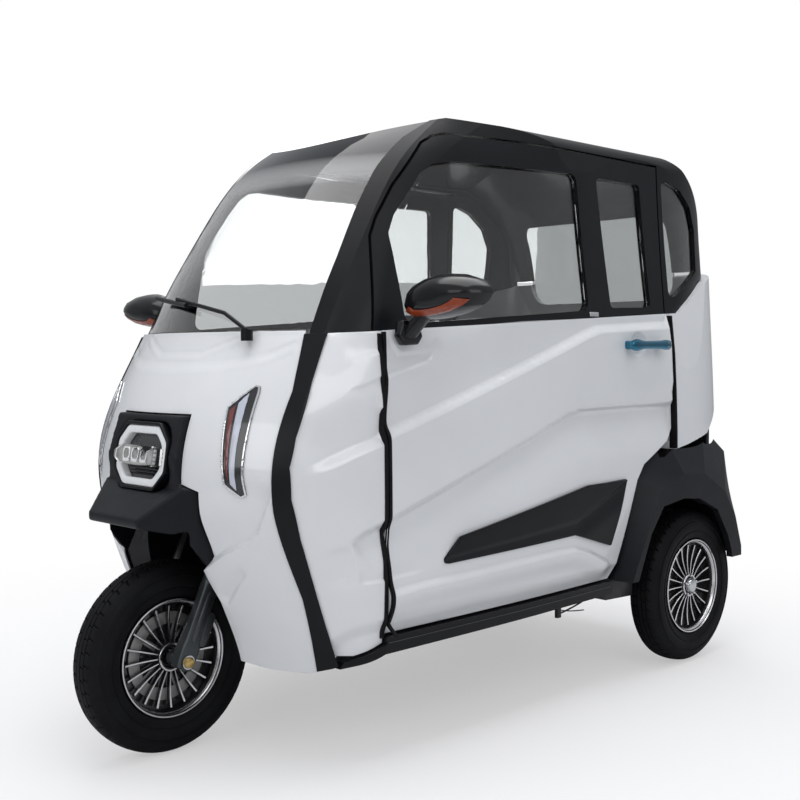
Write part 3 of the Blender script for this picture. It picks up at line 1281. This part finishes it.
def makePad(name, look):
    wide, deep, thick = look["size"]
    middle, up, along = Vector(look["middle"]), Vector(look["up"]).normalized(), Vector(look["deep"]).normalized()
    rings = [(middle + up * thick * level, Vector((wide / 2 * share, 0, 0)), along * deep / 2 * share,
              look["square"]) for level, share in padRings]
    piece = newPiece(name, lofted(name, rings, 64), "body", "seatVinyl", 80)
    modifier(piece, "REMESH", mode="VOXEL", voxel_size=look["voxel"])
    applied(piece)
    start = [v.co.copy() for v in piece.data.vertices]
    puffed(piece)
    for v, before in zip(piece.data.vertices, start):
        move = v.co - before
        if move.length > look["cap"]:
            v.co = before + move * (look["cap"] / move.length)
        under = (v.co - middle).dot(up) + thick / 2
        if look["flat"] and under < 0:
            v.co -= up * under
    modifier(piece, "SUBSURF", levels=1)
    applied(piece)
    # sewn channels across the pad and a crease all round, below its crown
    (channelDeep, channelWide), (rimDeep, rimWide), seamInset = seamLook.values()
    for v in piece.data.vertices:
        rel = v.co - middle
        reach = rel.dot(along)
        sunk = 0.0
        inset = min(wide / 2 - abs(rel.x), deep / 2 - abs(reach))
        if rel.dot(up) / thick > 0:
            ends = min(max((inset - seamInset) / 0.02, 0), 1)
            for line in look["channels"]:
                sunk += channelDeep * math.exp(-((reach - line) / channelWide) ** 2) * ends
            sunk += rimDeep * math.exp(-((inset - seamInset) / rimWide) ** 2)
        v.co -= up * sunk
    piece.data.update()
    shaded(piece.data, None)
    tree = shownTree(piece)
    cord = []
    for k in range(72):
        turn = 2 * math.pi * k / 72
        c, s = math.cos(turn), math.sin(turn)
        across = Vector((1, 0, 0)) * math.copysign(abs(c) ** 0.4, c) * wide
        reach = across + along * math.copysign(abs(s) ** 0.4, s) * deep
        hit = tree.ray_cast(middle + up * thick * 0.24 + reach, -reach.normalized())[0]
        if hit is not None:
            cord.append(hit)
    newPiece(name + "_piping", tube(name + "Piping", cord, 0.0028, True), "body", "rubberSeal")
    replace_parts(piece, look["node"])
    print("pad made:", name)


for name, look in padLook.items():
    makePad(name, look)

# Mirrors
mirrorLook = {
    "middle": (0.596, 1.074),
    "outline": [(-122, -22), (-112, 8), (-92, 26), (-50, 42), (-6, 50), (44, 46), (94, 32), (116, 14), (120, 2),
                (108, -14), (88, -26), (46, -40), (0, -48), (-48, -52), (-88, -50), (-112, -38)],
    # station and share of the outline, from the nose of the shell to its rim
    "shell": [(302.4, 0.22), (303.4, 0.38), (307, 0.52), (313, 0.65), (321, 0.77), (332, 0.87), (346, 0.945),
              (362, 0.985), (379, 1.0)],
    # the lamp wraps the lower front: outline points, then station and share just outside the shell
    "lensPoints": slice(9, 16),
    "lensRows": [(309, 0.615), (314, 0.70), (321, 0.80), (330, 0.885)],
    "foot": [(312, 986), (328, 964), (370, 966), (384, 984), (374, 1016), (320, 1022)],
    "arm": [((492, 346, 992), 20, 15), ((506, 347, 1004), 18, 13), ((530, 350, 1026), 16, 12),
            ((556, 354, 1048), 18, 14), ((572, 357, 1060), 20, 14)],
}


def mirrorRows(rows, outline):
    x, z = mirrorLook["middle"]
    return [[(x + u * share / 1000, station(run), z + v * share / 1000) for u, v in outline] for run, share in rows]


outline = mirrorLook["outline"]
arm = lofted("mirrorArm", [((x / 1000, station(run), z / 1000), (0, deep / 1000, 0),
                            (-high / 1400, 0, high / 1400), 4) for (x, run, z), deep, high in mirrorLook["arm"]], 24)
footAxes = axesAt((0.474, axleY, 0), (0, 1, 0), (0, 0, 1))
foot = slab("mirrorFoot", footAxes, mirrorLook["foot"], 0, 26, edge=5, steps=3)
mirrorBody = joined("mirrorBody", [bridged("mirrorShell", mirrorRows(mirrorLook["shell"], outline)), arm, foot])
bothSides("mirrorBody", mirrorBody, doors, "roofBlack", 38, "wing_mirror")
glassAxes = axesAt((mirrorLook["middle"][0], station(380), mirrorLook["middle"][1]), (-1, 0, 0), (0, 0, 1))
faceRim = [(-u * 0.90, v * 0.86) for u, v in outline]
shellRim = [(-u * 0.985, v * 0.975) for u, v in outline]
bothSides("mirrorGlass", slab("mirrorGlass", glassAxes, faceRim, -0.5, 1.5, edge=0.8), doors,
          "mirrorGlass")
bothSides("mirrorRim", slab("mirrorRim", glassAxes, shellRim, -3, 3, faceRim, 1.4), doors,
          "roofBlack")
bm = bmesh.new()
lensRows = mirrorRows(mirrorLook["lensRows"], outline[mirrorLook["lensPoints"]])
bridge(bm, [[bm.verts.new(p) for p in row] for row in lensRows], False, False)
bmesh.ops.solidify(bm, geom=list(bm.faces), thickness=0.0016)
bothSides("mirrorLamp", meshFrom(bm, "mirrorLamp"), doors, "orangeLens", 30)
print("mirrors made")

# Door handles and locks
handleLook = {
    "x": 0.5185,
    "height": 0.962,
    # station, half height, half depth
    "grip": [(1199, 6, 4), (1202, 13, 8), (1212, 16.5, 9.6), (1228, 17, 9.8), (1244, 14, 9), (1262, 12, 8.2),
             (1310, 12, 8.2), (1344, 12.6, 8.6), (1362, 15, 9.2), (1382, 14.5, 9), (1390, 11, 7), (1393, 5, 4)],
    "feet": (1222, 1370),
    "lock": (0.5262, 1372),
}
height = handleLook["height"]
grip = lofted("grip", [((handleLook["x"], station(run), height), (0, 0, high / 1000), (deep / 1000, 0, 0), 2.6)
                       for run, high, deep in handleLook["grip"]], 32)
feet = [lofted("foot", [((x, station(run), height), (0, 0.013, 0), (0, 0, 0.0125), 3) for x in (0.487, 0.514)], 24)
        for run in handleLook["feet"]]
bothSides("doorHandle", joined("doorHandle", [grip] + feet), doors, "blueChrome", 40, "door_handle")
lockX, lockRun = handleLook["lock"]
lock = lathe("lock", [(0.0, 0.0075), (0.0012, 0.0066), (0.0012, 0.0001), (0.0, 0.0001)],
             Vector((lockX, station(lockRun), height)), 1, 28, False)
bothSides("doorLock", lock, doors, "chromeTrim")

# Black door trims with their long ridge
trimPress = [sideCrease([(440, 458), (474, 462), (960, 494), (1215, 588)], 6, 12, 6, 60, (1, 1))]
mesh = pressedPanel("door_trim_left", "trimPressed", sideView, 0.5, trimPress, pitch=0.008, wall=0.006,
                    edgeRoll=0.0022)
bothSides("doorTrim", mesh, doors, "satinBlack", 40, "door_trim")
print("handles and trims made")

# Tail lamps
tailMiddle = (0.342, 1.003, 0.690)
windowDrop = 12      # how far the window sits below the lamp's middle
# finish, slot, outline, opening, low, high and edge
tailLook = {
    "Housing": ("lampBlack", "black_plastic", roundedBox(74, 120, 12), None, 0, 14, 2),
    "Lens": ("redLens", "red_lamp", roundedBox(66, 112, 9), shifted(roundedBox(50, 40, 8), 0, -windowDrop),
             14, 24, 2.5),
    "Window": ("lampStrip", "lamp", shifted(roundedBox(48, 38, 7), 0, -windowDrop), None, 14, 22, 2),
}
tail = axesAt(tailMiddle, (-1, 0, 0), (0, 0, 1))
for part, (look, slotName, rim, hole, low, high, edge) in tailLook.items():
    mesh = slab("tail" + part, tail, rim, low, high, hole, edge)
    pair = bothSides("tailLamp" + part, mesh, chassis, look)
    if part == "Housing":
        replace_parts(pair[0], "tail_lamps")
print("tail lamps made")


# Seals, clips and strips on the side
def edgeStrip(name, tree, runs, levels, probe, deep):
    # a black bar along a panel's upright edge, as high as the skin a little way in from it
    count = int((levels[1] - levels[0]) / 8)
    heights = [(levels[0] + (levels[1] - levels[0]) * k / count) / 1000 for k in range(count + 1)]
    skin = []
    inward = Vector((-1, 0, 0))
    for z in heights:
        found = [tree.ray_cast(Vector((2, station(probe + shift), z)), inward)[0] for shift in (-3, 0, 3)]
        found = [hit.x for hit in found if hit]
        skin.append(max(found) if found else (skin[-1] if skin else 0.5))
    skin = [max(skin[max(k - 1, 0):k + 2]) for k in range(count + 1)]
    skin = [float(np.mean(skin[max(k - 1, 0):k + 2])) for k in range(count + 1)]
    corners = [(sealProud, runs[0]), (sealProud, runs[1]), (-deep, runs[1]), (-deep, runs[0])]
    return bridged(name, [[(x + out, station(run), z) for out, run in corners] for x, z in zip(skin, heights)])


sealProud = 0.0022
# the black lines between the panels: skin followed, bodies, stations, heights, station probed, depth
sealLook = {
    "quarterSeal": (shownTree(shells["front_quarter"]), chassis, (276, 285.8), (298, 992), 279, 0.022),
    "doorSeal": (shownTree(shells["door_panel"]), doors, (288.8, 297), (306, 996), 294, 0.006),
    "rearSeal": (treeOf("rear_body"), chassis, (1455.4, 1462), (655, 1048), 1463, 0.022),
}
for name, (tree, bodies, *shape) in sealLook.items():
    bothSides(name, edgeStrip(name, tree, *shape), bodies, "rubberSeal")


def patch(run, level, wide, high):
    # a box on the side, from the station and height of its middle
    y, z = station(run), level / 1000
    return [(y - wide / 2, z - high / 2), (y + wide / 2, z - high / 2), (y + wide / 2, z + high / 2),
            (y - wide / 2, z + high / 2)]


frameTree = treeOf("door_frame_left")
clips = [skinPad("clip", frameTree, patch(*spot, 0.042, 0.012), sideView, 0.0005, 0.003, 0.004)
         for spot in ((400, 1011), (1092, 1047))]
bothSides("windowClips", joined("windowClips", clips), doors, "chromeTrim")
strip = patch(718, 286.5, 0.864, 0.002)
bothSides("sillStrip", skinPad("sillStrip", treeOf("sills"), strip, sideView, 0.0002, 0.0012, 0.008), chassis,
          "forkGrey")

# The bracket and rods behind the sills, and the dark shield ahead of each rear wheel.
# x and height in metres, station in millimetres, then the rod's radius.
rodLook = (([(0.41, 1006, 0.222), (0.41, 1060, 0.228), (0.40, 1150, 0.240), (0.38, 1240, 0.262)], 0.0024),
           ([(0.41, 1010, 0.232), (0.41, 1050, 0.220), (0.41, 1120, 0.214)], 0.0016))
underParts = [tube("rod", [(x, station(run), z) for x, run, z in points], radius) for points, radius in rodLook]
underParts += [lofted("lug", [((0.408, station(1004), z), (0.006, 0, 0), (0, 0.009, 0), 5)
                              for z in (0.212, 0.216, 0.262)], 16),
               slab("shield", axesAt((0.395, axleY, 0), (0, 1, 0), (0, 0, 1)),
                    [(1120, 262), (1160, 242), (1286, 236), (1292, 300), (1240, 316), (1120, 300)], 0, 66, edge=4)]
bothSides("underRods", joined("underRods", underParts), chassis, "framePaint")
print("side fittings made")

print("all pieces placed")
